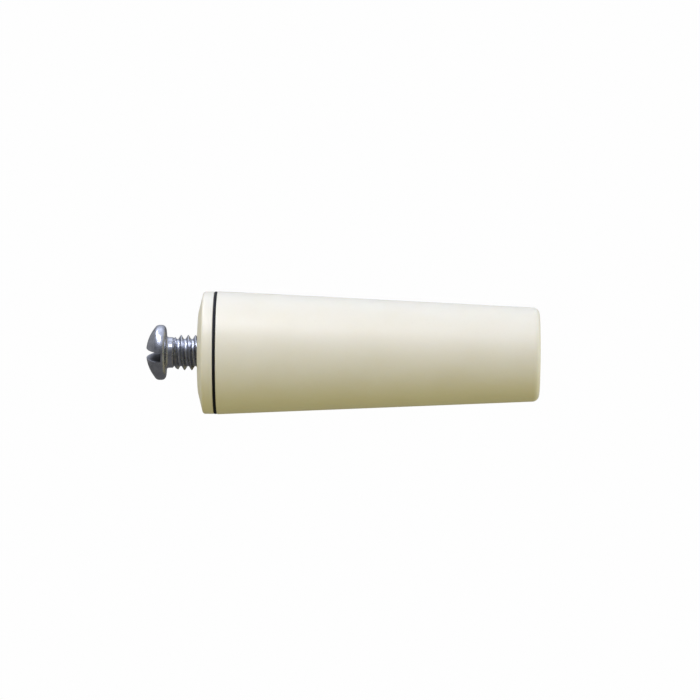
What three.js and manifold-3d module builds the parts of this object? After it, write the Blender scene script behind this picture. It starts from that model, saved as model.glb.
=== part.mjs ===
// Conical stop for the bottom slat of a roller shutter.
//
// A slotted screw passes through the slat and runs in a metal sleeve, which draws a plastic disc
// against the slat. A long tapered cone stands out from the disc. A spring inside the cone holds it
// on the disc through a rubber ring, and lets it rock when something knocks it.
//
// Millimetres, +Z up. Every piece is centred on the X axis. X = 0 is the disc's seat on the slat,
// the screw's head is on the -X side, and the cone's tip points along +X.
import * as THREE from 'three';
import { mergeGeometries, mergeVertices } from 'three/addons/utils/BufferGeometryUtils.js';
import Module from 'manifold-3d';

const wasm = await Module();
wasm.setup();

// ---- How finely round shapes are divided ----
const FACETS = 48;             // around the disc, the ring and the cone
const SMALL_FACETS = 32;       // around the pieces inside, and the screw
const THREAD_FACETS = 16;      // around a thread
const ARC_STEPS = 2;           // along each half of a rounded edge

const HALF_TURN = Math.PI;

// ---- Clearances ----
const REST_GAP = 0.03;         // between faces that rest on each other
const MERGE_WITHIN = 7e-4;     // corners closer than this are one corner
const OVERSHOOT = 1;           // how far a cutting solid passes the face that it opens
const SKIN = 0.04;             // keeps two faces that would coincide apart

// ---- Disc that seats on the slat ----
const DISC = {
  rimR: 10.78, seatR: 7.2, bevelLength: 0.88, length: 2.8, edge: 0.15,
  holeR: 3.5, plate: 1.0, pocketR: 6.15, lipR: 5.6, lipLength: 0.4,
};

// ---- Rubber ring between the disc and the cone ----
const RING = { outerR: 10.8, innerR: 5.8, length: 0.5, edge: 0.08 };

// ---- Cone ----
const CONE = {
  mouthR: 10.85, taper: THREE.MathUtils.degToRad(2.64), length: 56.7, tipEdge: 1.15, mouthEdge: 0.18,
  wall: 1.8, tipWall: 2.0, cavityEdge: 1.2, collarSeatR: 9.35, collarSeatDepth: 3.5,
};

// ---- Collar that closes the cone's mouth ----
const COLLAR = {
  outerR: 9.25, length: 3.4, hexFlats: 10.0, recess: 0.1,
  rimOuterR: 7.9, rimInnerR: 7.1, rimHeight: 0.9,
};

// ---- Metal sleeve that the screw runs in ----
const SLEEVE = {
  flangeR: 5.85, flangeLength: 1.0, hexFlats: 9.0, hexEnd: 6.2, barrelR: 4.4, length: 24.0,
  grooveStart: 22.25, grooveEnd: 23.15, grooveR: 3.95, endEdge: 0.3,
  threadEnd: 13.0, clearanceR: 3.3, leadIn: 0.6,
};

// ---- Spring, washer and clip on the sleeve ----
const SPRING = {
  wireR: 0.45, collarR: 6.35, washerR: 5.15, activeTurns: 5, closedPitch: 1.0,
  wireSides: 8, stepsPerTurn: 12,
};
const WASHER = { innerR: 4.6, outerR: 6.0, length: 0.8, edge: 0.1 };
const CLIP = { innerR: 4.05, outerR: 5.4, length: 0.7, play: 0.1, opening: THREE.MathUtils.degToRad(70) };

// ---- Screw ----
const SCREW = {
  headR: 4.85, headHeight: 3.6, domeR: 6.9, headEdge: 0.45,
  neckR: 2.7, neckFillet: 0.6, neckLength: 1.2,
  length: 19.5, threadFadeIn: 0.8, tipChamfer: 0.8,
  slotWidth: 1.6, slotDepth: 2.75, slotTurn: THREE.MathUtils.degToRad(11),
};
const THREAD = { pitch: 1.27, majorR: 3.1, rootR: 2.41, crestFlat: 1 / 8, rootFlat: 1 / 4 };
const THREAD_CLEARANCE = { radial: 0.12, axial: 0.1 };
const CREST_AT_TOP = -0.55;    // where one thread crest crosses the top of the screw

// ---- Where each piece starts along X ----
const RING_X = DISC.length;
const CONE_X = RING_X + RING.length;
const COLLAR_X = CONE_X + COLLAR.recess;
const SLEEVE_X = 1.2;
const SCREW_X = -5.7;
const CLIP_X = SLEEVE_X + SLEEVE.grooveStart + CLIP.play;
const WASHER_X = CLIP_X - CLIP.play - WASHER.length;

// ---- Materials ----
const plastic = (color) => new THREE.MeshStandardMaterial({ color, roughness: 0.45, metalness: 0 });
const metal = (color, roughness) => new THREE.MeshStandardMaterial({ color, roughness, metalness: 1 });
const ivory = plastic(0xe6dfc2);
const nylon = plastic(0xd9d9d2);
const rubber = new THREE.MeshStandardMaterial({ color: 0x16161a, roughness: 0.85, metalness: 0 });
const zinc = metal(0xb4b6c4, 0.32);
const springSteel = metal(0x8c8e94, 0.35);

// A closed geometry as a solid that can be cut and joined.
function toSolid(geometry) {
  const bare = geometry.clone();
  bare.deleteAttribute('normal');
  bare.deleteAttribute('uv');
  const merged = mergeVertices(bare, MERGE_WITHIN);
  const corners = merged.index.array;
  const kept = [];
  for (let i = 0; i < corners.length; i += 3) {
    const [a, b, c] = corners.slice(i, i + 3);
    if (a !== b && b !== c && c !== a) kept.push(a, b, c);
  }
  const mesh = new wasm.Mesh({
    numProp: 3,
    vertProperties: new Float32Array(merged.attributes.position.array),
    triVerts: new Uint32Array(kept),
  });
  return new wasm.Manifold(mesh);
}

// A solid as a geometry that a mesh can hold.
function toGeometry(solid) {
  const { vertProperties, triVerts } = solid.getMesh();
  const geometry = new THREE.BufferGeometry();
  geometry.setAttribute('position', new THREE.BufferAttribute(new Float32Array(vertProperties), 3));
  geometry.setIndex(new THREE.BufferAttribute(new Uint32Array(triVerts), 1));
  geometry.computeVertexNormals();
  return geometry;
}

// One named piece, whose solid starts at x = 0 and is moved along the axis to its place.
function piece(name, solid, material, x) {
  const mesh = new THREE.Mesh(toGeometry(solid), material);
  mesh.name = name;
  mesh.position.x = x;
  return mesh;
}

// Lathe and cylinder geometries stand along Y. This lays one along X, with +Z still up.
const layDown = (geometry) => geometry.rotateZ(-HALF_TURN / 2);

// A solid turned about X. Its outline is drawn as (radius, x): up the outside, down the inside.
function turned(outline, facets) {
  return toSolid(layDown(new THREE.LatheGeometry(outline.getPoints(ARC_STEPS), facets)));
}

// A washer-shaped solid, with a small chamfer on both outer edges.
function flatRing({ innerR, outerR, edge }, length, facets) {
  const outline = new THREE.Path()
    .moveTo(innerR, 0)
    .lineTo(outerR - edge, 0)
    .lineTo(outerR, edge)
    .lineTo(outerR, length - edge)
    .lineTo(outerR - edge, length)
    .lineTo(innerR, length)
    .lineTo(innerR, 0);
  return turned(outline, facets);
}

// A plain round bar along X.
function bar(radius, from, to) {
  const outline = new THREE.Path().moveTo(0, from).lineTo(radius, from).lineTo(radius, to).lineTo(0, to);
  return turned(outline, SMALL_FACETS);
}

// A hexagonal bar along X.
function hexBar(acrossFlats, from, to) {
  const cornerR = acrossFlats / 2 / Math.cos(HALF_TURN / 6);
  const geometry = layDown(new THREE.CylinderGeometry(cornerR, cornerR, to - from, 6));
  return toSolid(geometry.translate((from + to) / 2, 0, 0));
}

// A right-hand threaded rod along X, from before `from` to past `to`, with a crest that crosses the
// top at crestX. A lathe of parallel ridges is sheared by one pitch a turn, so that each ridge meets
// the next, and the slit left at each end is closed by a flat face.
function threadedRod(thread, crestX, from, to) {
  const { pitch } = thread;
  const crest = thread.crestFlat / 2;
  const root = thread.rootFlat / 2;
  const { majorR, rootR } = thread;
  const ridge = [[-crest, majorR], [crest, majorR], [0.5 - root, rootR], [0.5 + root, rootR]];
  const firstRidge = Math.floor((from - crestX) / pitch) - 2;
  const lastRidge = Math.ceil((to - crestX) / pitch) + 1;
  const rows = [];
  for (let turn = firstRidge; turn <= lastRidge; turn += 1) {
    const ridgeX = crestX + turn * pitch;
    rows.push(...ridge.map(([share, radius]) => new THREE.Vector2(radius, ridgeX + share * pitch)));
  }
  rows.push(new THREE.Vector2(rows[0].x, rows[0].y + (lastRidge - firstRidge + 1) * pitch));

  const startX = rows[0].y;
  const endX = rows.at(-1).y;
  const lathe = new THREE.LatheGeometry(
    [new THREE.Vector2(0, startX), ...rows, new THREE.Vector2(0, endX + pitch)], THREAD_FACETS);
  const place = lathe.attributes.position;
  const perColumn = rows.length + 2;
  for (let column = 0; column <= THREAD_FACETS; column += 1) {
    rows.forEach((row, i) => {
      place.setY(column * perColumn + i + 1, row.y + (pitch * column) / THREAD_FACETS);
    });
  }

  const slit = (side, axisX, edgeRows, shift) => new THREE.ShapeGeometry(new THREE.Shape([
    new THREE.Vector2(0, axisX),
    ...edgeRows.map((row) => new THREE.Vector2(side * row.x, row.y + shift)),
  ])).rotateY((-side * HALF_TURN) / 2);
  const startSlit = slit(1, startX, rows.slice(0, ridge.length + 1), 0);
  const endSlit = slit(-1, endX + pitch, rows.slice(-ridge.length - 1), pitch);
  return toSolid(layDown(mergeGeometries([lathe, startSlit, endSlit])));
}

function baseDisc() {
  const { rimR, seatR, bevelLength, length, edge, holeR, plate, pocketR, lipR, lipLength } = DISC;
  const outline = new THREE.Path()
    .moveTo(holeR, 0)
    .lineTo(seatR, 0)
    .lineTo(rimR, bevelLength)
    .absarc(rimR - edge, length - edge, edge, 0, HALF_TURN / 2)
    .lineTo(lipR, length)
    .lineTo(lipR, length - lipLength)
    .lineTo(pocketR, length - lipLength)
    .lineTo(pocketR, plate)
    .lineTo(holeR, plate)
    .lineTo(holeR, 0);
  return turned(outline, FACETS);
}

function coneShell() {
  const { mouthR, taper, length, tipEdge, mouthEdge, wall, tipWall, cavityEdge } = CONE;
  const { collarSeatR, collarSeatDepth } = CONE;
  const outsideR = (x) => mouthR - x * Math.tan(taper);
  const cavityR = (x) => outsideR(x) - wall;
  const cavityEnd = length - tipWall;
  // The centre of an edge arc that touches both a tapered side and an end face.
  const edgeCentre = (sideR, endX, radius) => {
    const x = endX - radius;
    return { r: sideR(x) - radius / Math.cos(taper), x };
  };
  const tipCentre = edgeCentre(outsideR, length, tipEdge);
  const cavityCentre = edgeCentre(cavityR, cavityEnd, cavityEdge);
  const outline = new THREE.Path()
    .moveTo(0, cavityEnd)
    .lineTo(cavityCentre.r, cavityEnd)
    .absarc(cavityCentre.r, cavityCentre.x, cavityEdge, HALF_TURN / 2, taper, true)
    .lineTo(cavityR(collarSeatDepth), collarSeatDepth)
    .lineTo(collarSeatR, collarSeatDepth)
    .lineTo(collarSeatR, 0)
    .absarc(mouthR - mouthEdge, mouthEdge, mouthEdge, -HALF_TURN / 2, 0)
    .absarc(tipCentre.r, tipCentre.x, tipEdge, taper, HALF_TURN / 2)
    .lineTo(0, length);
  return turned(outline, FACETS);
}

function mouthCollar() {
  const { outerR, length, hexFlats, rimOuterR, rimInnerR, rimHeight } = COLLAR;
  const outline = new THREE.Path()
    .moveTo(0, 0)
    .lineTo(outerR, 0)
    .lineTo(outerR, length)
    .lineTo(rimOuterR, length)
    .lineTo(rimOuterR, length + rimHeight)
    .lineTo(rimInnerR, length + rimHeight)
    .lineTo(rimInnerR, length)
    .lineTo(0, length);
  return turned(outline, FACETS).subtract(hexBar(hexFlats, -OVERSHOOT, length + OVERSHOOT));
}

function hexSleeve() {
  const { flangeR, flangeLength, hexFlats, hexEnd, barrelR, length, grooveStart, grooveEnd } = SLEEVE;
  const { grooveR, endEdge, threadEnd, clearanceR, leadIn } = SLEEVE;
  const outline = new THREE.Path()
    .moveTo(0, 0)
    .lineTo(flangeR, 0)
    .lineTo(flangeR, flangeLength)
    .lineTo(barrelR, flangeLength)
    .lineTo(barrelR, grooveStart)
    .lineTo(grooveR, grooveStart)
    .lineTo(grooveR, grooveEnd)
    .lineTo(barrelR, grooveEnd)
    .lineTo(barrelR, length - endEdge)
    .lineTo(barrelR - endEdge, length)
    .lineTo(0, length);
  const outside = turned(outline, SMALL_FACETS).add(hexBar(hexFlats, flangeLength / 2, hexEnd));

  const { radial, axial } = THREAD_CLEARANCE;
  const groove = {
    pitch: THREAD.pitch,
    majorR: THREAD.majorR + radial,
    rootR: THREAD.rootR + radial,
    crestFlat: THREAD.crestFlat + (2 * axial) / THREAD.pitch,
    rootFlat: THREAD.rootFlat - (2 * axial) / THREAD.pitch,
  };
  const threadHole = threadedRod(groove, CREST_AT_TOP - SLEEVE_X, -OVERSHOOT, threadEnd)
    .intersect(bar(clearanceR, -OVERSHOOT, threadEnd));
  const clearanceHole = bar(clearanceR, threadEnd - leadIn, length + OVERSHOOT);
  const mouth = new THREE.Path()
    .moveTo(0, -OVERSHOOT)
    .lineTo(clearanceR + OVERSHOOT, -OVERSHOOT)
    .lineTo(clearanceR - leadIn, leadIn)
    .lineTo(0, leadIn);
  return outside.subtract(threadHole).subtract(clearanceHole).subtract(turned(mouth, SMALL_FACETS));
}

// The coil's centre line along X: a closed turn at each end and open turns between.
class CoilCurve extends THREE.Curve {
  constructor(from, to) {
    super();
    this.from = from;
    this.to = to;
    this.turns = SPRING.activeTurns + 2;
  }

  getPoint(share, target = new THREE.Vector3()) {
    const turn = share * this.turns;
    const openPitch = (this.to - this.from - 2 * SPRING.closedPitch) / SPRING.activeTurns;
    const closedStart = Math.min(turn, 1) * SPRING.closedPitch;
    const open = THREE.MathUtils.clamp(turn - 1, 0, SPRING.activeTurns) * openPitch;
    const closedEnd = Math.max(turn - SPRING.activeTurns - 1, 0) * SPRING.closedPitch;
    const radius = THREE.MathUtils.lerp(SPRING.collarR, SPRING.washerR, share);
    const angle = turn * 2 * HALF_TURN;
    return target.set(
      this.from + closedStart + open + closedEnd, radius * Math.cos(angle), radius * Math.sin(angle));
  }
}

function coilSpring(length) {
  const { wireR, wireSides, stepsPerTurn } = SPRING;
  const corners = [];
  for (let i = 0; i < wireSides; i += 1) {
    const angle = (i * 2 * HALF_TURN) / wireSides;
    corners.push(new THREE.Vector2(wireR * Math.cos(angle), wireR * Math.sin(angle)));
  }
  const path = new CoilCurve(wireR, length - wireR);
  const steps = stepsPerTurn * path.turns;
  const wire = new THREE.Shape(corners);
  return toSolid(new THREE.ExtrudeGeometry(wire, { extrudePath: path, steps, bevelEnabled: false }));
}

// An open ring, sprung into the sleeve's groove. Its opening faces down.
function retainingClip() {
  const { innerR, outerR, length, opening } = CLIP;
  const start = opening / 2;
  const end = 2 * HALF_TURN - opening / 2;
  const shape = new THREE.Shape()
    .absarc(0, 0, outerR, start, end, false)
    .absarc(0, 0, innerR, end, start, true);
  const settings = { depth: length, bevelEnabled: false, curveSegments: SMALL_FACETS / 2 };
  return toSolid(new THREE.ExtrudeGeometry(shape, settings).rotateY(HALF_TURN / 2));
}

function clampScrew() {
  const { headR, headHeight, domeR, headEdge, neckR, neckFillet, neckLength } = SCREW;
  const { length, threadFadeIn, tipChamfer, slotWidth, slotDepth, slotTurn } = SCREW;
  const domeCentreX = domeR - headHeight;
  const head = new THREE.Path()
    .moveTo(0, -headHeight)
    .absarc(0, domeCentreX, domeR, -HALF_TURN / 2, -Math.acos(headR / domeR))
    .absarc(headR - headEdge, -headEdge, headEdge, 0, HALF_TURN / 2)
    .absarc(neckR + neckFillet, neckFillet, neckFillet, -HALF_TURN / 2, -HALF_TURN, true)
    .lineTo(neckR, neckLength)
    .lineTo(0, neckLength);

  // The thread fades in after the neck, and ends in a chamfered point.
  const clearR = THREAD.majorR + SKIN;
  const envelope = new THREE.Path()
    .moveTo(0, neckLength - SKIN)
    .lineTo(THREAD.rootR + SKIN, neckLength - SKIN)
    .lineTo(clearR, neckLength + threadFadeIn)
    .lineTo(clearR, length - tipChamfer)
    .lineTo(clearR - tipChamfer, length)
    .lineTo(0, length);
  const shank = threadedRod(THREAD, CREST_AT_TOP - SCREW_X, 0, length)
    .intersect(turned(envelope, SMALL_FACETS));

  const slot = new THREE.BoxGeometry(2 * slotDepth, 3 * headR, slotWidth).rotateX(slotTurn);
  return turned(head, SMALL_FACETS).add(shank).subtract(toSolid(slot.translate(-headHeight, 0, 0)));
}

const springStart = COLLAR_X + COLLAR.length + REST_GAP;
const springLength = WASHER_X - REST_GAP - springStart;

const dampingRing = flatRing(RING, RING.length - 2 * REST_GAP, FACETS);

const stop = new THREE.Group();
stop.add(
  piece('base_disc', baseDisc(), ivory, 0),
  piece('damping_ring', dampingRing, rubber, RING_X + REST_GAP),
  piece('cone_shell', coneShell(), ivory, CONE_X),
  piece('mouth_collar', mouthCollar(), nylon, COLLAR_X),
  piece('hex_sleeve', hexSleeve(), zinc, SLEEVE_X),
  piece('coil_spring', coilSpring(springLength), springSteel, springStart),
  piece('spring_washer', flatRing(WASHER, WASHER.length, SMALL_FACETS), zinc, WASHER_X),
  piece('retaining_clip', retainingClip(), springSteel, CLIP_X),
  piece('clamp_screw', clampScrew(), zinc, SCREW_X),
);

export default stop;
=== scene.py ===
import math

import bmesh
import bpy
from mathutils import Matrix, Quaternion, Vector


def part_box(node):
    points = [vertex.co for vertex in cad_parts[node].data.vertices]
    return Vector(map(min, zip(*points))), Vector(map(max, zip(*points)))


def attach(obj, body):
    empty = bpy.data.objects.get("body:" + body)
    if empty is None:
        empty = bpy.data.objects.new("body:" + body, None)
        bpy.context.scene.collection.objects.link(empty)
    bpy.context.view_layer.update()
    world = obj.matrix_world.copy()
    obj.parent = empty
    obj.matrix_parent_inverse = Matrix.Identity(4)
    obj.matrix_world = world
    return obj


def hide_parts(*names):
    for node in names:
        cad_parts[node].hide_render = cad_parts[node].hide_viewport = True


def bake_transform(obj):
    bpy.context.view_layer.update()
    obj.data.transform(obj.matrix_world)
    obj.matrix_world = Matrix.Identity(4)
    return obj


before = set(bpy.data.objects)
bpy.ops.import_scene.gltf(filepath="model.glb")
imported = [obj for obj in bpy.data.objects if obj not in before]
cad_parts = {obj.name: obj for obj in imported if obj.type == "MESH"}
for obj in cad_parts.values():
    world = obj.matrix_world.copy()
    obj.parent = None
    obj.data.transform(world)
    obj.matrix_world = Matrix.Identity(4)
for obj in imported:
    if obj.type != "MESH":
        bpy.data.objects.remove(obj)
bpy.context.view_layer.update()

MM = 0.001
TURN = 2 * math.pi
SHARP_ANGLE = math.radians(32)      # edges that bend more than this stay crisp
ROUND_SEGMENTS = 192                # round the outer pieces
SMALL_SEGMENTS = 128                # round the pieces inside, and the screw's head
MERGED = 1e-4                       # corners closer than this are one corner
ON_AXIS = 1e-6                      # a radius below this is one point on the axis
SIDE_SHARE = 0.48                   # the most of an outline's side that one rounded corner takes

# Steps round a rounded corner of an outline
STEPS = 5
FINE_STEPS = 8                      # on the cone and the screw's head
COARSE_STEPS = 3                    # on the collar, the sleeve and the clip

# Radii of the edges that several pieces share
HAIR_EDGE = 0.05
FINE_EDGE = 0.1
SMALL_EDGE = 0.15
SOFT_EDGE = 0.2


def span(node):
    """Where a CAD node starts and ends along X, and its outer radius, in millimetres."""
    low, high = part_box(node)
    return low.x / MM, high.x / MM, high.z / MM


DISC_START, DISC_END, DISC_R = span("base_disc")
RING_START, RING_END, RING_R = span("damping_ring")
CONE_START, CONE_END, CONE_R = span("cone_shell")
COLLAR_START, _, COLLAR_R = span("mouth_collar")
SLEEVE_START, SLEEVE_END, FLANGE_R = span("hex_sleeve")
SPRING_START, SPRING_END, _ = span("coil_spring")
WASHER_START, WASHER_END, WASHER_R = span("spring_washer")
CLIP_START, CLIP_END, CLIP_R = span("retaining_clip")
SCREW_START, SCREW_END, HEAD_R = span("clamp_screw")

# Thread of the screw and the sleeve. Widths along the axis are shares of the pitch.
PITCH = 1.27
MAJOR_R = 3.1
ROOT_R = 2.41
CREST_AT_TOP = -0.55                # where one crest crosses the top of the screw
THREAD_COLUMNS = 96
THREAD_ROOM = 0.12                  # between the screw's thread and the sleeve's
CREST_HALF = 0.035                  # half the width of the flat on one of the screw's crests
CREST_EDGE = 0.062                  # half its width with its worn edges
ROOT_HALF = 0.08
ROOT_EDGE = 0.135
THREAD_WEAR = 0.03                  # how much lower or higher those edges lie
SLEEVE_CREST_HALF = 0.14
SLEEVE_ROOT_HALF = 0.05
ROD_PAST = 2                        # how far a threaded rod reaches past the part that is used
UNDER_ROOT = 0.1                    # how much smaller than the root's radius a plain end is

# Screw
UNDERHEAD = -5.7
CROWN = SCREW_START - 0.03          # the dome's middle, which the slot takes away
DOME_R = 6.9
DOME_EDGE_R = 4.1                   # where the dome gives way to the rim
DOME_END = math.asin(DOME_EDGE_R / DOME_R)
DOME_STEPS = 24
RIM_EDGE = 0.9                      # between the dome and the rim
UNDER_EDGE = 0.85                   # between the rim and the head's underside
NECK_R = 2.7
NECK_END = UNDERHEAD + 1.2
NECK_FILLET = 0.55
NECK_EDGE = 0.25
NECK_SLOPE = 0.3                    # length over which the neck drops into the shank
SHANK_START = UNDERHEAD - 1         # inside the head
SHANK_TIP = 1.05                    # length of the shank's chamfered tip
THREAD_START = NECK_END - 0.3       # where the thread begins to rise
THREAD_FADE = 1.9                   # length over which the thread rises to its full height
CREST_ROOM = 0.3                    # how far the shank's blank stands clear of the crests
SLOT_WIDTH = 1.6
SLOT_DEPTH = 2.75
SLOT_FLARE = 0.11                   # how much further out each wall lies at the dome, and how
                                    # far under the dome the flare begins
SLOT_TURN = math.radians(11)
SLOT_EDGE = 0.1                     # the corners of the slot's floor, and the height in which
                                    # the flare opens out
SLOT_WALL = 0.2                     # the least height of wall between the floor and the flare
SLOT_REACH = 1.2                    # half the length of the slot's cutter, in radii of the head
SLOT_PAST = 2                       # how far that cutter reaches out of the dome
SLOT_STEPS = 32

# Disc and ring
SEAT_R = 7.2
SEAT_EDGE = 0.9
BEVEL = 0.88
BEVEL_EDGE = 0.5
PARTING_EDGE = 0.16                 # where the disc's rim meets the ring
SCREW_HOLE_R = 3.5
DISC_PLATE = 1.0
POCKET_R = 6.15
LIP_R = 5.6
LIP = 0.4
LIP_EDGE = 0.12
RING_INNER_R = 5.85

# Cone
TAPER = math.radians(2.64)
WALL = 1.8
TIP_WALL = 2.0
TIP_EDGE = 1.2075
CAVITY_EDGE = 1.2
COLLAR_SEAT_R = 9.35
COLLAR_SEAT = 3.5
GATE_R = 1.6                        # the small dished mark that moulding leaves on the tip
GATE_DEPTH = 0.22
GATE_SLOPE = 0.25
GATE_EDGE = 0.12
STUB_R = (0.55, 0.42)               # the stub in the middle of the mark, at its foot and at its top
STUB_EDGE = 0.08
STUB_BELOW = (0.06, 0.05)           # how far its top lies below the tip, at its edge and middle

# Collar. A hexagon's corner is cut off by this angle on each side, in radians, seen from the axis.
COLLAR_LENGTH = 3.4
COLLAR_FLATS = 10.0
HOLE_CORNER = 0.02
HOLE_PAST = 1                       # how far the hexagonal hole's cutter reaches past the collar
RIM_INNER_R = 7.1
RIM_OUTER_R = 7.9
RIM_HEIGHT = 0.9

# Sleeve
FLANGE = 1.0
SLEEVE_FLATS = 9.0
BAR_CORNER = 0.04
HEX_START = SLEEVE_START + 0.5      # inside the flange
HEX_END = SLEEVE_START + 6.2
BARREL_R = 4.4
BARREL_EDGE = 0.3
GROOVE_R = 3.95
GROOVE = (SLEEVE_START + 22.25, SLEEVE_START + 23.15)
SLEEVE_THREAD_END = SLEEVE_START + 13.0
CLEARANCE_R = 3.3                   # of the plain bore, and of the mouth before the thread
BORE_LAP = 0.5                      # how far the plain bore reaches back into the thread
BORE_SLOPE = 0.9                    # length over which it opens out
LEAD_IN = 0.8                       # length over which the mouth narrows to the thread
CUT_PAST = 6                        # how far the cutter of an open end reaches past it

# Spring, washer and clip
WIRE_R = 0.45
WIRE_INSET = 0.995                  # keeps the wire just inside the CAD spring
WIRE_SEGMENTS = 16
STEPS_A_TURN = 40
COIL_R = (6.35, 5.15)               # at the collar, and at the washer
ACTIVE_TURNS = 5                    # between one closed turn at each end
CLOSED_PITCH = 1.0
WASHER_INNER_R = 4.6
WASHER_INNER_EDGE = 0.08
CLIP_INNER_R = 4.05
CLIP_OPENING = math.radians(70)
CLIP_STEPS = 96


# ---- Mesh helpers ----

def finished(maker, name):
    """A linked, smooth object from a bmesh, with its faces out and its sharp edges crisp."""
    bmesh.ops.recalc_face_normals(maker, faces=maker.faces)
    mesh = bpy.data.meshes.new(name)
    maker.to_mesh(mesh)
    maker.free()
    mesh.shade_smooth()
    mesh.set_sharp_from_angle(angle=SHARP_ANGLE)
    obj = bpy.data.objects.new(name, mesh)
    bpy.context.scene.collection.objects.link(obj)
    return obj


def from_points(points, faces, name):
    """A piece from points in millimetres and lists of corner numbers."""
    maker = bmesh.new()
    corners = [maker.verts.new(Vector(p) * MM) for p in points]
    for face in faces:
        maker.faces.new([corners[i] for i in face])
    bmesh.ops.remove_doubles(maker, verts=maker.verts, dist=MERGED * MM)
    return finished(maker, name)


def rounded(corners, closed=False, steps=STEPS):
    """An outline of (x, radius) points from (x, radius, edge radius) corners."""
    outline = []
    for i, (x, r, edge) in enumerate(corners):
        here = Vector((x, r))
        if edge <= 0 or (not closed and i in (0, len(corners) - 1)):
            outline.append(here)
            continue
        before = Vector(corners[i - 1][:2]) - here
        after = Vector(corners[(i + 1) % len(corners)][:2]) - here
        half = before.angle(after) / 2
        reach = min(edge / math.tan(half), SIDE_SHARE * before.length, SIDE_SHARE * after.length)
        edge = reach * math.tan(half)
        before.normalize()
        after.normalize()
        centre = here + (before + after).normalized() * edge / math.sin(half)
        first = here + before * reach - centre
        last = here + after * reach - centre
        bend = math.atan2(first.cross(last), first.dot(last))
        for k in range(steps + 1):
            a = bend * k / steps
            spoke = Vector((first.x * math.cos(a) - first.y * math.sin(a),
                            first.x * math.sin(a) + first.y * math.cos(a)))
            outline.append(centre + spoke)
    return outline


def arc(centre_x, radius, start, end, steps):
    """Outline points on an arc whose centre is on the axis, from angle start to end."""
    angles = [start + (end - start) * k / steps for k in range(steps + 1)]
    return [Vector((centre_x - radius * math.cos(a), radius * math.sin(a))) for a in angles]


def revolve(name, outline, segments, closed=False):
    """A piece turned about X. An outline that isn't closed starts and ends on the axis."""
    maker = bmesh.new()
    rings = []
    for x, r in outline:
        count = segments if r > ON_AXIS else 1
        angles = [TURN * k / segments for k in range(count)]
        places = [Vector((x, -r * math.sin(a), r * math.cos(a))) * MM for a in angles]
        rings.append([maker.verts.new(place) for place in places])
    pairs = list(zip(rings, rings[1:]))
    if closed:
        pairs.append((rings[-1], rings[0]))
    for a, b in pairs:
        for k in range(segments):
            n = (k + 1) % segments
            if len(a) == 1:
                maker.faces.new([a[0], b[k], b[n]])
            elif len(b) == 1:
                maker.faces.new([a[k], b[0], a[n]])
            else:
                maker.faces.new([a[k], b[k], b[n], a[n]])
    return finished(maker, name)


def loft(name, rows):
    """A solid with flat ends, from closed rows of points that are each joined to the next."""
    points = [point for row in rows for point in row]
    n = len(rows[0])
    faces = [list(range(n)), list(range(len(points) - n, len(points)))]
    for i in range(len(rows) - 1):
        for k in range(n):
            a, b = i * n + k, i * n + (k + 1) % n
            faces.append([a, b, b + n, a + n])
    return from_points(points, faces, name)


def sweep(name, centres, frames, section):
    """A solid with flat ends that carries a section, in (u, v), along centres with (u, v) frames."""
    return loft(name, [[c + u * s[0] + v * s[1] for s in section] for c, (u, v) in zip(centres, frames)])


def combined(obj, other, operation):
    """obj with other cut away or joined on. other is used up."""
    change = obj.modifiers.new(operation, "BOOLEAN")
    change.operation = operation
    change.solver = "EXACT"
    change.object = other
    bpy.context.view_layer.update()
    made = bpy.data.meshes.new_from_object(obj.evaluated_get(bpy.context.evaluated_depsgraph_get()))
    obj.modifiers.clear()
    obj.data = made
    bpy.data.objects.remove(other)
    maker = bmesh.new()
    maker.from_mesh(made)
    bmesh.ops.dissolve_degenerate(maker, edges=maker.edges, dist=MERGED * MM)
    maker.to_mesh(made)
    maker.free()
    made.shade_smooth()
    made.set_sharp_from_angle(angle=SHARP_ANGLE)
    return obj


def hex_bar(flats, start, end, corner):
    """A hexagonal bar along X, with corner, an angle, cut off on each side of each corner."""
    outline = []
    for k in range(6):
        middle = TURN * (k + 0.5) / 6
        for side in (-1, 1):
            a = middle + side * (TURN / 12 - corner)
            outline.append((flats / 2 / math.cos(a - middle), a))
    section = [(r * math.cos(a), r * math.sin(a)) for r, a in outline]
    centres = [Vector((start, 0, 0)), Vector((end, 0, 0))]
    across = (Vector((0, 0, 1)), Vector((0, 1, 0)))
    return sweep("hex_bar", centres, [across, across], section)


def threaded_rod(start, end, ridge):
    """A right-hand threaded rod that reaches at least from start to end, each of its ends one turn
    of a screw surface. ridge is one pitch of (share of a pitch, radius) corners from a crest's
    middle. Each row of corners climbs one pitch a turn, to meet the row one ridge further on."""
    step = len(ridge)
    first = math.floor((start - CREST_AT_TOP) / PITCH) - 1
    last = step * (math.ceil((end - CREST_AT_TOP) / PITCH) - first)
    points, number = [], {}
    for column in range(THREAD_COLUMNS):
        a = TURN * column / THREAD_COLUMNS
        for row in range(last + 1 + (step if column == 0 else 0)):
            share, r = ridge[row % step]
            x = CREST_AT_TOP + (first + row // step + share + column / THREAD_COLUMNS) * PITCH
            number[column, row] = len(points)
            points.append((x, -r * math.sin(a), r * math.cos(a)))
    for row in range(last + 1):
        number[THREAD_COLUMNS, row] = number[0, row + step]
    faces = []
    for c in range(THREAD_COLUMNS):
        for row in range(last):
            a, b = (c, row), (c + 1, row)
            faces.append([number[a], number[c, row + 1], number[c + 1, row + 1], number[b]])
    for row, axis_end in ((0, points[0][0]), (last, points[number[0, last + step]][0])):
        rim = [number[c, row] for c in range(THREAD_COLUMNS)]
        rim += [number[0, row + k] for k in range(step, 0, -1)]
        hub = len(points)
        points.append((axis_end, 0, 0))
        faces += [[hub, rim[k - 1], rim[k]] for k in range(len(rim))]
    return from_points(points, faces, "threaded_rod")


# ---- The pieces ----

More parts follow.
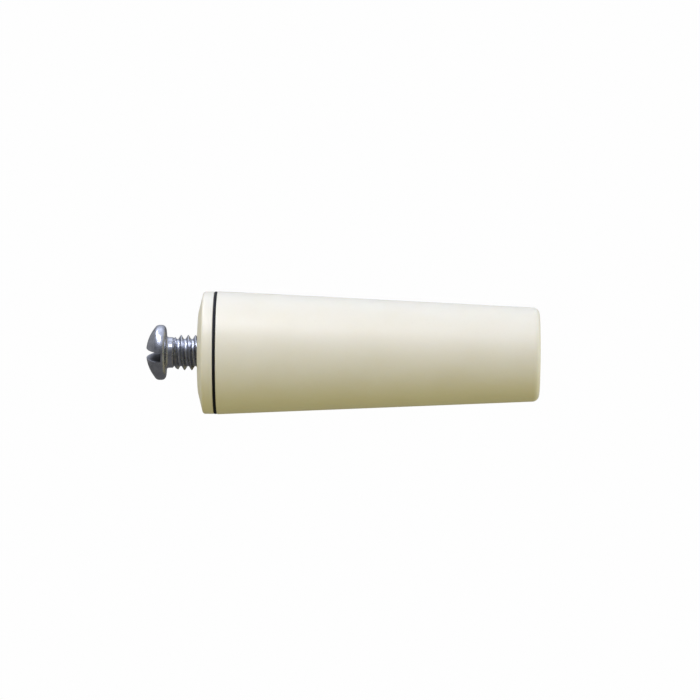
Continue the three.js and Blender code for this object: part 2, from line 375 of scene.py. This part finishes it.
def base_disc():
    outline = rounded([
        (DISC_START, SCREW_HOLE_R, SOFT_EDGE), (DISC_START, SEAT_R, SEAT_EDGE),
        (DISC_START + BEVEL, DISC_R, BEVEL_EDGE), (DISC_END, DISC_R, PARTING_EDGE),
        (DISC_END, LIP_R, LIP_EDGE), (DISC_END - LIP, LIP_R, HAIR_EDGE),
        (DISC_END - LIP, POCKET_R, 0), (DISC_PLATE, POCKET_R, SMALL_EDGE),
        (DISC_PLATE, SCREW_HOLE_R, FINE_EDGE),
    ], closed=True)
    return revolve("seat_disc", outline, ROUND_SEGMENTS, closed=True)


def damping_ring():
    outline = rounded([
        (RING_START, RING_INNER_R, FINE_EDGE), (RING_START, RING_R, FINE_EDGE),
        (RING_END, RING_R, FINE_EDGE), (RING_END, RING_INNER_R, FINE_EDGE),
    ], closed=True)
    return revolve("rubber_ring", outline, ROUND_SEGMENTS, closed=True)


def cone_shell():
    def outside(x):
        return CONE_R - (x - CONE_START) * math.tan(TAPER)

    cavity_end = CONE_END - TIP_WALL
    collar_back = CONE_START + COLLAR_SEAT
    gate = CONE_END - GATE_DEPTH
    outline = rounded([
        (cavity_end, 0, 0), (cavity_end, outside(cavity_end) - WALL, CAVITY_EDGE),
        (collar_back, outside(collar_back) - WALL, FINE_EDGE), (collar_back, COLLAR_SEAT_R, FINE_EDGE),
        (CONE_START, COLLAR_SEAT_R, SMALL_EDGE), (CONE_START, CONE_R, SOFT_EDGE),
        (CONE_END, outside(CONE_END), TIP_EDGE), (CONE_END, GATE_R, GATE_EDGE),
        (gate, GATE_R - GATE_SLOPE, GATE_EDGE), (gate, STUB_R[0], STUB_EDGE),
        (CONE_END - STUB_BELOW[0], STUB_R[1], STUB_EDGE), (CONE_END - STUB_BELOW[1], 0, 0),
    ], steps=FINE_STEPS)
    return revolve("cone_body", outline, ROUND_SEGMENTS)


def mouth_collar():
    back = COLLAR_START + COLLAR_LENGTH
    rim = back + RIM_HEIGHT
    outline = rounded([
        (COLLAR_START, 0, 0), (COLLAR_START, COLLAR_R, SOFT_EDGE), (back, COLLAR_R, SOFT_EDGE),
        (back, RIM_OUTER_R, SMALL_EDGE), (rim, RIM_OUTER_R, SOFT_EDGE),
        (rim, RIM_INNER_R, SOFT_EDGE), (back, RIM_INNER_R, SMALL_EDGE), (back, 0, 0),
    ], steps=COARSE_STEPS)
    collar = revolve("spring_seat_collar", outline, SMALL_SEGMENTS)
    hole = hex_bar(COLLAR_FLATS, COLLAR_START - HOLE_PAST, rim + HOLE_PAST, HOLE_CORNER)
    return combined(collar, hole, "DIFFERENCE")


def hex_sleeve():
    flange_end = SLEEVE_START + FLANGE
    outline = rounded([
        (SLEEVE_START, 0, 0), (SLEEVE_START, FLANGE_R, SMALL_EDGE), (flange_end, FLANGE_R, SMALL_EDGE),
        (flange_end, BARREL_R, FINE_EDGE), (GROOVE[0], BARREL_R, HAIR_EDGE),
        (GROOVE[0], GROOVE_R, HAIR_EDGE), (GROOVE[1], GROOVE_R, HAIR_EDGE),
        (GROOVE[1], BARREL_R, HAIR_EDGE), (SLEEVE_END, BARREL_R, BARREL_EDGE), (SLEEVE_END, 0, 0),
    ], steps=COARSE_STEPS)
    sleeve = revolve("threaded_sleeve", outline, SMALL_SEGMENTS)
    combined(sleeve, hex_bar(SLEEVE_FLATS, HEX_START, HEX_END, BAR_CORNER), "UNION")
    crest, root = MAJOR_R + THREAD_ROOM, ROOT_R + THREAD_ROOM
    ridge = [(-SLEEVE_CREST_HALF, crest), (SLEEVE_CREST_HALF, crest),
             (0.5 - SLEEVE_ROOT_HALF, root), (0.5 + SLEEVE_ROOT_HALF, root)]
    hole = threaded_rod(SLEEVE_START - ROD_PAST, SLEEVE_THREAD_END + ROD_PAST, ridge)
    bore_start, bore_end = SLEEVE_THREAD_END - BORE_LAP, SLEEVE_END + CUT_PAST
    bore = revolve("bore", [Vector(p) for p in (
        (bore_start, 0), (bore_start, root - 2 * UNDER_ROOT), (bore_start + BORE_SLOPE, CLEARANCE_R),
        (bore_end, CLEARANCE_R), (bore_end, 0),
    )], SMALL_SEGMENTS)
    mouth, lead_end = SLEEVE_START - CUT_PAST, SLEEVE_START + LEAD_IN
    lead_in = revolve("lead_in", [Vector(p) for p in (
        (mouth, 0), (mouth, CLEARANCE_R), (SLEEVE_START, CLEARANCE_R),
        (lead_end, root - UNDER_ROOT), (lead_end, 0),
    )], SMALL_SEGMENTS)
    combined(hole, bore, "UNION")
    combined(hole, lead_in, "UNION")
    return combined(sleeve, hole, "DIFFERENCE")


def coil_spring():
    turns = ACTIVE_TURNS + 2        # with one closed turn at each end
    steps = STEPS_A_TURN * turns
    start, end = SPRING_START + WIRE_R, SPRING_END - WIRE_R
    open_pitch = (end - start - 2 * CLOSED_PITCH) / ACTIVE_TURNS

    def centre(turn):
        turn = min(max(turn, 0), turns)
        x = start + min(turn, 1) * CLOSED_PITCH + min(max(turn - 1, 0), ACTIVE_TURNS) * open_pitch
        x += max(turn - ACTIVE_TURNS - 1, 0) * CLOSED_PITCH
        r = COIL_R[0] + (COIL_R[1] - COIL_R[0]) * turn / turns
        return Vector((x, r * math.cos(TURN * turn), r * math.sin(TURN * turn)))

    centres, frames = [], []
    nudge = 0.01                    # of a turn, to find which way the wire runs
    for k in range(steps + 1):
        turn = turns * k / steps
        here = centre(turn)
        outward = Vector((0, here.y, here.z)).normalized()
        along = (centre(turn + nudge) - centre(turn - nudge)).normalized()
        outward = (outward - along * outward.dot(along)).normalized()
        centres.append(here)
        frames.append((outward, along.cross(outward)))
    r = WIRE_INSET * WIRE_R
    angles = [TURN * k / WIRE_SEGMENTS for k in range(WIRE_SEGMENTS)]
    section = [(r * math.cos(a), r * math.sin(a)) for a in angles]
    return sweep("cushion_spring", centres, frames, section)


def spring_washer():
    outline = rounded([
        (WASHER_START, WASHER_INNER_R, WASHER_INNER_EDGE), (WASHER_START, WASHER_R, SMALL_EDGE),
        (WASHER_END, WASHER_R, SMALL_EDGE), (WASHER_END, WASHER_INNER_R, WASHER_INNER_EDGE),
    ], closed=True)
    return revolve("seat_washer", outline, SMALL_SEGMENTS, closed=True)


def retaining_clip():
    half_depth = (CLIP_END - CLIP_START) / 2
    half_width = (CLIP_R - CLIP_INNER_R) / 2
    section = [(p.x, p.y) for p in rounded([
        (-half_width, -half_depth, FINE_EDGE), (half_width, -half_depth, FINE_EDGE),
        (half_width, half_depth, FINE_EDGE), (-half_width, half_depth, FINE_EDGE),
    ], closed=True, steps=COARSE_STEPS)]
    middle_r = (CLIP_R + CLIP_INNER_R) / 2
    centres, frames = [], []
    for k in range(CLIP_STEPS + 1):
        a = CLIP_OPENING / 2 + (TURN - CLIP_OPENING) * k / CLIP_STEPS
        outward = Vector((0, math.sin(a), -math.cos(a)))
        centres.append(outward * middle_r + Vector(((CLIP_START + CLIP_END) / 2, 0, 0)))
        frames.append((outward, Vector((1, 0, 0))))
    return sweep("groove_clip", centres, frames, section)


def slot_cutter():
    """A bar along Y that cuts the screwdriver's slot, flared where it meets the dome."""
    half = SLOT_WIDTH / 2
    floor_x = CROWN + SLOT_DEPTH
    rows = []
    for k in range(SLOT_STEPS + 1):
        y = (2 * k / SLOT_STEPS - 1) * SLOT_REACH * HEAD_R
        dome = CROWN + DOME_R - math.sqrt(DOME_R ** 2 - y ** 2)
        lip = min(dome + SLOT_FLARE, floor_x - SLOT_WALL)
        side = [(floor_x, half - SLOT_EDGE), (floor_x - SLOT_EDGE, half), (lip, half),
                (lip - SLOT_EDGE, half + SLOT_FLARE), (CROWN - SLOT_PAST, half + SLOT_FLARE)]
        rows.append([(x, y, -z) for x, z in side] + [(x, y, z) for x, z in reversed(side)])
    cutter = loft("slot_cutter", rows)
    cutter.data.transform(Matrix.Rotation(SLOT_TURN, 4, "X"))
    return cutter


def clamp_screw():
    dome = arc(CROWN + DOME_R, DOME_R, 0, DOME_END, DOME_STEPS)
    rise = (HEAD_R - dome[-1].y) / math.cos(DOME_END)
    inner_r, end_r = ROOT_R - UNDER_ROOT, ROOT_R - 2 * UNDER_ROOT
    profile = rounded([
        (dome[-1].x, dome[-1].y, 0), (dome[-1].x + rise * math.sin(DOME_END), HEAD_R, RIM_EDGE),
        (UNDERHEAD, HEAD_R, UNDER_EDGE), (UNDERHEAD, NECK_R, NECK_FILLET),
        (NECK_END, NECK_R, NECK_EDGE), (NECK_END + NECK_SLOPE, end_r, 0), (NECK_END + NECK_SLOPE, 0, 0),
    ], steps=FINE_STEPS)
    screw = revolve("slotted_screw", dome + profile[1:], SMALL_SEGMENTS)

    ridge = [(-CREST_EDGE, MAJOR_R - THREAD_WEAR), (-CREST_HALF, MAJOR_R),
             (CREST_HALF, MAJOR_R), (CREST_EDGE, MAJOR_R - THREAD_WEAR),
             (0.5 - ROOT_EDGE, ROOT_R + THREAD_WEAR), (0.5 - ROOT_HALF, ROOT_R),
             (0.5 + ROOT_HALF, ROOT_R), (0.5 + ROOT_EDGE, ROOT_R + THREAD_WEAR)]
    shank = threaded_rod(SHANK_START - ROD_PAST, SCREW_END + ROD_PAST, ridge)
    full_r = MAJOR_R + CREST_ROOM
    # An odd number of segments, so that the blank's edges lie at other angles than the thread's
    blank = revolve("shank_blank", [Vector(p) for p in (
        (SHANK_START, 0), (SHANK_START, inner_r), (THREAD_START, inner_r),
        (THREAD_START + THREAD_FADE, full_r), (SCREW_END - SHANK_TIP, full_r),
        (SCREW_END, end_r), (SCREW_END, 0),
    )], SMALL_SEGMENTS - 1)
    combined(shank, blank, "INTERSECT")
    combined(screw, slot_cutter(), "DIFFERENCE")
    return combined(screw, shank, "UNION")


# ---- Materials ----

IVORY_LIGHT = (0.80, 0.745, 0.555)
IVORY_DARK = (0.765, 0.705, 0.505)
IVORY_WARM = (0.78, 0.70, 0.48)
IVORY_SPECK = (0.66, 0.59, 0.38)
RUBBER_DARK = (0.004, 0.004, 0.0045)
RUBBER_BLOOM = (0.014, 0.014, 0.015)
NYLON_LIGHT = (0.72, 0.71, 0.64)
NYLON_DARK = (0.62, 0.60, 0.52)
SCREW_LIGHT = (0.47, 0.48, 0.53)
SCREW_DARK = (0.32, 0.33, 0.37)
SLEEVE_LIGHT = (0.56, 0.57, 0.60)
SLEEVE_DARK = (0.42, 0.43, 0.46)
WIRE_LIGHT = (0.36, 0.37, 0.40)
WIRE_DARK = (0.20, 0.21, 0.23)

NOISE_BODY = (0.3, 0.7)             # most of a noise's values lie between these
RINGS_A_METRE = 7000.0              # fine turned rings, across a face or along the axis
STAIN_SHADE = 0.45                  # of the dark colour, where the plating is stained
SLOT_SHADE = 0.3                    # and in the slot, as painted shade where light hardly reaches
CLOUD_ROUGH = 0.16                  # what clouds, stains and the slot add to the roughness
STAIN_ROUGH = 0.12
SLOT_ROUGH = 0.25
SLOT_SHADE_EDGE = (0.01, 0.05)      # how far past its walls and floor the slot's painted shade fades out
SLOT_SHADE_FROM = (0.2, 1.3)        # depths under the crown at which it begins and is full


def shaded(colour, share):
    return tuple(share * c for c in colour)


class Finish:
    """A procedural material built on one Principled shader, with its pattern in object space."""

    def __init__(self, name, metallic=0.0, ior=1.5):
        self.material = bpy.data.materials.new(name)
        self.material.use_nodes = True
        self.tree = self.material.node_tree
        self.shader = self.tree.nodes["Principled BSDF"]
        self.shader.inputs["Metallic"].default_value = metallic
        self.shader.inputs["IOR"].default_value = ior
        self.place = self.node("ShaderNodeTexCoord").outputs["Object"]

    def node(self, kind, **settings):
        """A new node of this kind, with the given settings."""
        made = self.tree.nodes.new(kind)
        for key, value in settings.items():
            setattr(made, key, value)
        return made

    def feed(self, socket, value):
        """Links an output to a socket, or sets the socket to a plain value."""
        if isinstance(value, bpy.types.NodeSocket):
            self.tree.links.new(value, socket)
        else:
            socket.default_value = value

    def stretched(self, x, y, z):
        """Object space scaled by a different amount along each axis."""
        made = self.node("ShaderNodeMapping")
        self.feed(made.inputs["Vector"], self.place)
        made.inputs["Scale"].default_value = (x, y, z)
        return made.outputs["Vector"]

    def noise(self, scale, detail, roughness, vector=None):
        """A noise pattern, from 0 to 1, with scale patches a metre unless vector is another space."""
        made = self.node("ShaderNodeTexNoise")
        self.feed(made.inputs["Vector"], vector or self.place)
        made.inputs["Scale"].default_value = scale
        made.inputs["Detail"].default_value = detail
        made.inputs["Roughness"].default_value = roughness
        return made.outputs["Fac"]

    def ranged(self, value, low, high, from_low, from_high):
        """value, from the range from_low to from_high, brought to the range low to high."""
        made = self.node("ShaderNodeMapRange")
        self.feed(made.inputs["Value"], value)
        ends = {"From Min": from_low, "From Max": from_high, "To Min": low, "To Max": high}
        for name, number in ends.items():
            made.inputs[name].default_value = number
        return made.outputs["Result"]

    def math(self, operation, a, b=0.0):
        made = self.node("ShaderNodeMath", operation=operation)
        self.feed(made.inputs[0], a)
        self.feed(made.inputs[1], b)
        return made.outputs["Value"]

    def mix(self, share, a, b):
        """Colour a where share is 0, going over to colour b where it is 1."""
        made = self.node("ShaderNodeMix", data_type="RGBA")
        self.feed(made.inputs["Factor"], share)
        for socket, colour in zip([s for s in made.inputs if s.type == "RGBA"], (a, b)):
            self.feed(socket, (*colour, 1.0) if isinstance(colour, tuple) else colour)
        return next(s for s in made.outputs if s.type == "RGBA")

    def parts(self, vector=None):
        """The X, Y and Z of object space, or of another vector."""
        made = self.node("ShaderNodeSeparateXYZ")
        self.feed(made.inputs[0], vector or self.place)
        return made.outputs

    def axis_radius(self):
        """Distance from the X axis."""
        parts = self.parts()
        flat = self.node("ShaderNodeCombineXYZ")
        self.feed(flat.inputs["Y"], parts["Y"])
        self.feed(flat.inputs["Z"], parts["Z"])
        length = self.node("ShaderNodeVectorMath", operation="LENGTH")
        self.feed(length.inputs[0], flat.outputs[0])
        return length.outputs["Value"]

    def along(self):
        """Distance along the X axis."""
        return self.parts()["X"]

    def rings_vector(self):
        """Space for a pattern of fine rings round the X axis: it changes with radius and with X alone."""
        both = self.node("ShaderNodeCombineXYZ")
        self.feed(both.inputs["X"], self.math("MULTIPLY", self.axis_radius(), RINGS_A_METRE))
        self.feed(both.inputs["Y"], self.math("MULTIPLY", self.along(), RINGS_A_METRE))
        return both.outputs[0]

    def slot_shade_mask(self):
        """How deep a point lies in the screw's slot, the mask of the slot's painted shade: 0 outside,
        rising to 1 well down inside.
        """
        turned = self.node("ShaderNodeMapping")
        self.feed(turned.inputs["Vector"], self.place)
        turned.inputs["Rotation"].default_value = (-SLOT_TURN, 0, 0)
        half = SLOT_WIDTH / 2 * MM
        near, far = (edge * MM for edge in SLOT_SHADE_EDGE)
        across = self.math("ABSOLUTE", self.parts(turned.outputs[0])["Z"])
        between = self.ranged(across, 1, 0, half + near, half + far)
        begins, full = ((CROWN + depth) * MM for depth in SLOT_SHADE_FROM)
        deep = self.ranged(self.along(), 0, 1, begins, full)
        slot_floor = (CROWN + SLOT_DEPTH) * MM
        in_head = self.ranged(self.along(), 1, 0, slot_floor + near, slot_floor + far)
        return self.math("MULTIPLY", self.math("MULTIPLY", between, deep), in_head)

    def bump(self, *layers):
        """Stacks (height, depth in metres) layers onto the surface."""
        normal = None
        for height, depth in layers:
            made = self.node("ShaderNodeBump")
            made.inputs["Strength"].default_value = 1.0
            made.inputs["Distance"].default_value = depth
            self.feed(made.inputs["Height"], height)
            if normal is not None:
                self.feed(made.inputs["Normal"], normal)
            normal = made.outputs["Normal"]
        self.feed(self.shader.inputs["Normal"], normal)

    def colour(self, value):
        self.feed(self.shader.inputs["Base Color"], value)

    def roughness(self, value):
        self.feed(self.shader.inputs["Roughness"], value)

    def subsurface(self, weight, radius, scale):
        """Light that soaks in, as far as scale in metres times the radius of each colour."""
        self.shader.inputs["Subsurface Weight"].default_value = weight
        self.shader.inputs["Subsurface Radius"].default_value = radius
        self.shader.inputs["Subsurface Scale"].default_value = scale


def ivory_plastic():
    """Ivory moulded ABS: a fine spark-eroded grain, slow mottling, and faint flow along the cone."""
    f = Finish("ivory_plastic", ior=1.53)
    slow = f.noise(90, 3, 0.6)
    flow = f.noise(140, 3, 0.55, f.stretched(0.25, 1, 1))
    speck = f.noise(2600, 2, 0.5)
    base = f.mix(f.ranged(slow, 0, 1, *NOISE_BODY), IVORY_LIGHT, IVORY_DARK)
    base = f.mix(f.ranged(flow, 0, 0.35, 0.35, 0.75), base, IVORY_WARM)
    f.colour(f.mix(f.ranged(speck, 0, 0.12, 0.58, 0.75), base, IVORY_SPECK))
    f.roughness(f.ranged(f.noise(600, 3, 0.6), 0.36, 0.5, *NOISE_BODY))
    f.bump((f.noise(4200, 2, 0.5), 6e-6), (f.noise(350, 2, 0.5), 1.2e-5), (flow, 1.5e-5))
    f.subsurface(weight=0.12, radius=(1.0, 0.7, 0.35), scale=0.6 * MM)
    return f.material


def black_rubber():
    """Matte rubber sheet with a fine pebbled face and a little bloom."""
    f = Finish("black_rubber")
    f.shader.inputs["Specular IOR Level"].default_value = 0.2
    bloom = f.noise(420, 4, 0.65)
    f.colour(f.mix(f.ranged(bloom, 0, 1, 0.35, 0.75), RUBBER_DARK, RUBBER_BLOOM))
    f.roughness(f.ranged(bloom, 0.62, 0.82, *NOISE_BODY))
    f.bump((f.noise(5200, 3, 0.6), 1.5e-5), (f.noise(900, 2, 0.5), 1.5e-5))
    return f.material


def natural_nylon():
    """Milky nylon, slightly uneven, with a satin moulded face."""
    f = Finish("natural_nylon", ior=1.53)
    f.colour(f.mix(f.ranged(f.noise(160, 3, 0.6), 0, 1, *NOISE_BODY), NYLON_LIGHT, NYLON_DARK))
    f.roughness(f.ranged(f.noise(900, 3, 0.6), 0.4, 0.55, *NOISE_BODY))
    f.bump((f.noise(3500, 2, 0.5), 8e-6))
    f.subsurface(weight=0.2, radius=(1.0, 0.9, 0.7), scale=0.8 * MM)
    return f.material


def plated_steel(name, light, dark, rough, slotted=False):
    """Zinc-plated steel: cloudy colour, stains, turned rings, fine scratches and pitting. rough is
    the least roughness, and slotted paints shade into the screw's slot, darker further down."""
    f = Finish(name, metallic=1.0)
    cloud = f.noise(700, 5, 0.65)
    stain = f.noise(260, 4, 0.7)
    base = f.mix(f.ranged(cloud, 0, 1, *NOISE_BODY), dark, light)
    base = f.mix(f.ranged(stain, 0, 0.45, 0.5, 0.75), base, shaded(dark, STAIN_SHADE))
    clouded = f.ranged(cloud, rough, rough + CLOUD_ROUGH, *NOISE_BODY)
    uneven = f.math("ADD", clouded, f.ranged(stain, 0, STAIN_ROUGH, 0.5, 0.8))
    if slotted:
        # painted shade: the slot's colour darkens towards its floor, where little light reaches
        inside = f.slot_shade_mask()
        base = f.mix(inside, base, shaded(dark, SLOT_SHADE))
        uneven = f.math("ADD", uneven, f.math("MULTIPLY", inside, SLOT_ROUGH))
    f.colour(base)
    f.roughness(uneven)
    rings = f.noise(1.0, 3, 0.7, f.rings_vector())
    scratches = f.noise(2400, 4, 0.7, f.stretched(1, 0.12, 1))
    f.bump((rings, 1.0e-5), (scratches, 5e-6), (f.noise(5000, 3, 0.6), 5e-6))
    return f.material


def spring_steel():
    """Drawn wire: dark grey with long fine die lines."""
    f = Finish("spring_steel", metallic=1.0)
    cloud = f.noise(500, 4, 0.65)
    f.colour(f.mix(f.ranged(cloud, 0, 1, *NOISE_BODY), WIRE_DARK, WIRE_LIGHT))
    f.roughness(f.ranged(cloud, 0.28, 0.45, *NOISE_BODY))
    f.bump((f.noise(1.0, 2, 0.6, f.rings_vector()), 6e-6), (f.noise(3000, 3, 0.6), 4e-6))
    return f.material


# ---- Putting the pieces on the frame ----

ivory = ivory_plastic()
rubber = black_rubber()
nylon = natural_nylon()
screw_zinc = plated_steel("screw_zinc", SCREW_LIGHT, SCREW_DARK, rough=0.2, slotted=True)
sleeve_zinc = plated_steel("sleeve_zinc", SLEEVE_LIGHT, SLEEVE_DARK, rough=0.26)
wire = spring_steel()

# how it is made, the CAD node it replaces, its body, its material, its slot
PIECES = [
    (base_disc, "base_disc", "base", ivory, "ivory_plastic"),
    (damping_ring, "damping_ring", "base", rubber, "black_rubber"),
    (cone_shell, "cone_shell", "cone", ivory, "ivory_plastic"),
    (mouth_collar, "mouth_collar", "cone", nylon, "natural_nylon"),
    (hex_sleeve, "hex_sleeve", "sleeve", sleeve_zinc, "sleeve_zinc"),
    (spring_washer, "spring_washer", "sleeve", sleeve_zinc, "sleeve_zinc"),
    (retaining_clip, "retaining_clip", "sleeve", wire, "spring_steel"),
    (clamp_screw, "clamp_screw", "screw", screw_zinc, "screw_zinc"),
]

for make, node, body, material, slot in PIECES:
    made = make()
    made.data.materials.clear()
    made.data.materials.append(material)
    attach(made, body)
    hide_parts(node)

# The spring's first turn rests on the collar, which rocks with the cone, and its last on the
# sleeve's washer.
spring = coil_spring()
spring.data.materials.append(wire)
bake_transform(spring)
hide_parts("coil_spring")


# ---- Floor, light and camera ----

SUBJECT = Vector((0.027, 0, 0))     # what the lights are turned to, over the floor's middle
FLOOR_BELOW = 0.14                  # metres under the axis
FLOOR_R = 0.46
FLOOR_SEGMENTS = 96
FLOOR_LIGHT = (0.90, 0.85, 0.70)    # warm, so that it looks white under the cool lights
FLOOR_DARK = (0.88, 0.83, 0.68)
FLOOR_ROUGH = 0.9
FLOOR_FADE = (0.55, 0.97)           # shares of its radius between which it fades out
WHITE = 0.991                       # the background as the camera sees it

# (share of the way from straight down to straight up, radiance), for the light that the
# surroundings give and for what shows of them in reflections
LIT_BY = [(0.2, (0.39, 0.37, 0.21)), (0.5, (0.68, 0.66, 0.44)), (0.8, (0.23, 0.27, 0.36))]
REFLECTED = [(0.2, (0.19, 0.188, 0.19)), (0.44, (0.155, 0.155, 0.157)),
             (0.66, (0.24, 0.25, 0.27)), (0.92, (1.0, 1.06, 1.24))]

# name, place, size, radiance, colour, whether it lights surfaces, whether it shows in reflections
LIGHTS = [
    ("softbox_key", (-0.25, -0.14, 0.48), (0.30, 0.34), 4.6, (0.69, 0.73, 1.0), True, False),
    ("softbox_top", (-0.08, 0.16, 0.50), (0.36, 0.26), 0.85, (0.84, 0.91, 1.0), True, True),
    ("strip_above", (-0.15, -0.10, 0.40), (0.60, 0.09), 12.0, (0.84, 0.88, 1.0), False, True),
    ("panel_behind", (-0.48, 0.38, 0.16), (0.50, 0.50), 0.20, (1.0, 1.0, 1.0), False, True),
    ("fill_left", (-0.42, -0.22, 0.36), (0.30, 0.30), 1.6, (0.95, 0.97, 1.0), True, False),
    ("fill_behind", (0.03, 0.52, -0.02), (0.50, 0.20), 2.0, (0.80, 0.86, 1.0), True, False),
    ("fill_front", (0.08, -0.42, 0.34), (0.50, 0.40), 3.5, (0.60, 0.64, 1.0), True, False),
    ("fill_right", (0.55, 0.10, 0.10), (0.40, 0.50), 2.7, (0.82, 0.88, 1.0), True, False),
]

CAMERA_AT = Vector((0.0339, -0.732, 0.00062))
CAMERA_TOWARDS = Vector((0.02667, 0, 0.00062))
CAMERA_LENS = 213.7                 # millimetres, as is the sensor
CAMERA_SENSOR = 36
CAMERA_NEAR = 0.01                  # nearer than this nothing is drawn
CAMERA_ROLL = math.radians(0.34)


def floor():
    """A pale round floor, one sheet that faces up. It fades out into the white surroundings before
    its rim, and from below it isn't there."""
    made = revolve("floor", [Vector((0, 0)), Vector((0, FLOOR_R / MM))], FLOOR_SEGMENTS)
    made.data.transform(Matrix.Rotation(math.pi / 2, 4, "Y"))
    if made.data.polygons[0].normal.z < 0:
        made.data.flip_normals()
    made.data.transform(Matrix.Translation((SUBJECT.x, 0, -FLOOR_BELOW)))
    f = Finish("pale_floor")
    f.colour(f.mix(f.ranged(f.noise(14, 3, 0.5), 0, 1, *NOISE_BODY), FLOOR_LIGHT, FLOOR_DARK))
    f.roughness(FLOOR_ROUGH)
    parts = f.parts()
    squares = [f.math("MULTIPLY", parts[axis], parts[axis]) for axis in "XY"]
    distance = f.math("SQRT", f.math("ADD", *squares))
    fade = f.ranged(distance, 1, 0, FLOOR_FADE[0] * FLOOR_R, FLOOR_FADE[1] * FLOOR_R)
    from_above = f.math("SUBTRACT", 1.0, f.node("ShaderNodeNewGeometry").outputs["Backfacing"])
    f.feed(f.shader.inputs["Alpha"], f.math("MULTIPLY", fade, from_above))
    made.data.materials.append(f.material)
    made.visible_diffuse = False
    made.visible_glossy = False
    made.visible_shadow = False


def area_light(name, at, size, radiance, colour, lights, shows):
    """A rectangular softbox turned to the cone. It may light surfaces, show in reflections, or both."""
    light = bpy.data.lights.new(name, "AREA")
    light.shape = "RECTANGLE"
    light.size, light.size_y = size
    light.energy = radiance * math.pi * size[0] * size[1]
    light.color = colour
    made = bpy.data.objects.new(name, light)
    made.location = at
    made.rotation_mode = "QUATERNION"
    made.rotation_quaternion = (SUBJECT - Vector(at)).to_track_quat("-Z", "Y")
    made.visible_camera = False
    made.visible_diffuse = lights
    made.visible_glossy = shows
    bpy.context.scene.collection.objects.link(made)


def sky(tree, height, stops):
    """A background whose colour runs through (height, colour) stops from straight down to up."""
    ramp = tree.nodes.new("ShaderNodeValToRGB")
    while len(ramp.color_ramp.elements) < len(stops):
        ramp.color_ramp.elements.new(0.5)
    for element, (position, colour) in zip(ramp.color_ramp.elements, stops):
        element.position = position
        element.color = (*colour, 1)
    background = tree.nodes.new("ShaderNodeBackground")
    tree.links.new(height, ramp.inputs["Fac"])
    tree.links.new(ramp.outputs["Color"], background.inputs["Color"])
    return background.outputs[0]


def surroundings():
    """White to the camera, a soft gradient for light, and a darker one in reflections."""
    world = bpy.data.worlds.new("studio")
    bpy.context.scene.world = world
    world.use_nodes = True
    tree = world.node_tree
    tree.nodes.clear()
    direction = tree.nodes.new("ShaderNodeTexCoord")
    parts = tree.nodes.new("ShaderNodeSeparateXYZ")
    height = tree.nodes.new("ShaderNodeMapRange")
    height.inputs["From Min"].default_value = -1    # straight down, and straight up is 1
    tree.links.new(direction.outputs["Generated"], parts.inputs[0])
    tree.links.new(parts.outputs["Z"], height.inputs["Value"])
    lit = sky(tree, height.outputs["Result"], LIT_BY)
    reflected = sky(tree, height.outputs["Result"], REFLECTED)
    seen = tree.nodes.new("ShaderNodeBackground")
    seen.inputs["Color"].default_value = (WHITE, WHITE, WHITE, 1)
    path = tree.nodes.new("ShaderNodeLightPath")
    result = lit
    for ray, background in (("Is Glossy Ray", reflected), ("Is Camera Ray", seen.outputs[0])):
        mixed = tree.nodes.new("ShaderNodeMixShader")
        tree.links.new(path.outputs[ray], mixed.inputs["Fac"])
        tree.links.new(result, mixed.inputs[1])
        tree.links.new(background, mixed.inputs[2])
        result = mixed.outputs[0]
    out = tree.nodes.new("ShaderNodeOutputWorld")
    tree.links.new(result, out.inputs["Surface"])


def camera():
    made = bpy.data.objects.new("camera", bpy.data.cameras.new("camera"))
    made.data.sensor_width = CAMERA_SENSOR
    made.data.lens = CAMERA_LENS
    made.data.clip_start = CAMERA_NEAR
    made.location = CAMERA_AT
    made.rotation_mode = "QUATERNION"
    level = (CAMERA_TOWARDS - CAMERA_AT).to_track_quat("-Z", "Y")
    made.rotation_quaternion = level @ Quaternion((0, 0, 1), CAMERA_ROLL)
    bpy.context.scene.collection.objects.link(made)
    bpy.context.scene.camera = made


floor()
surroundings()
for light in LIGHTS:
    area_light(*light)
camera()

bpy.context.scene.view_settings.view_transform = "Standard"
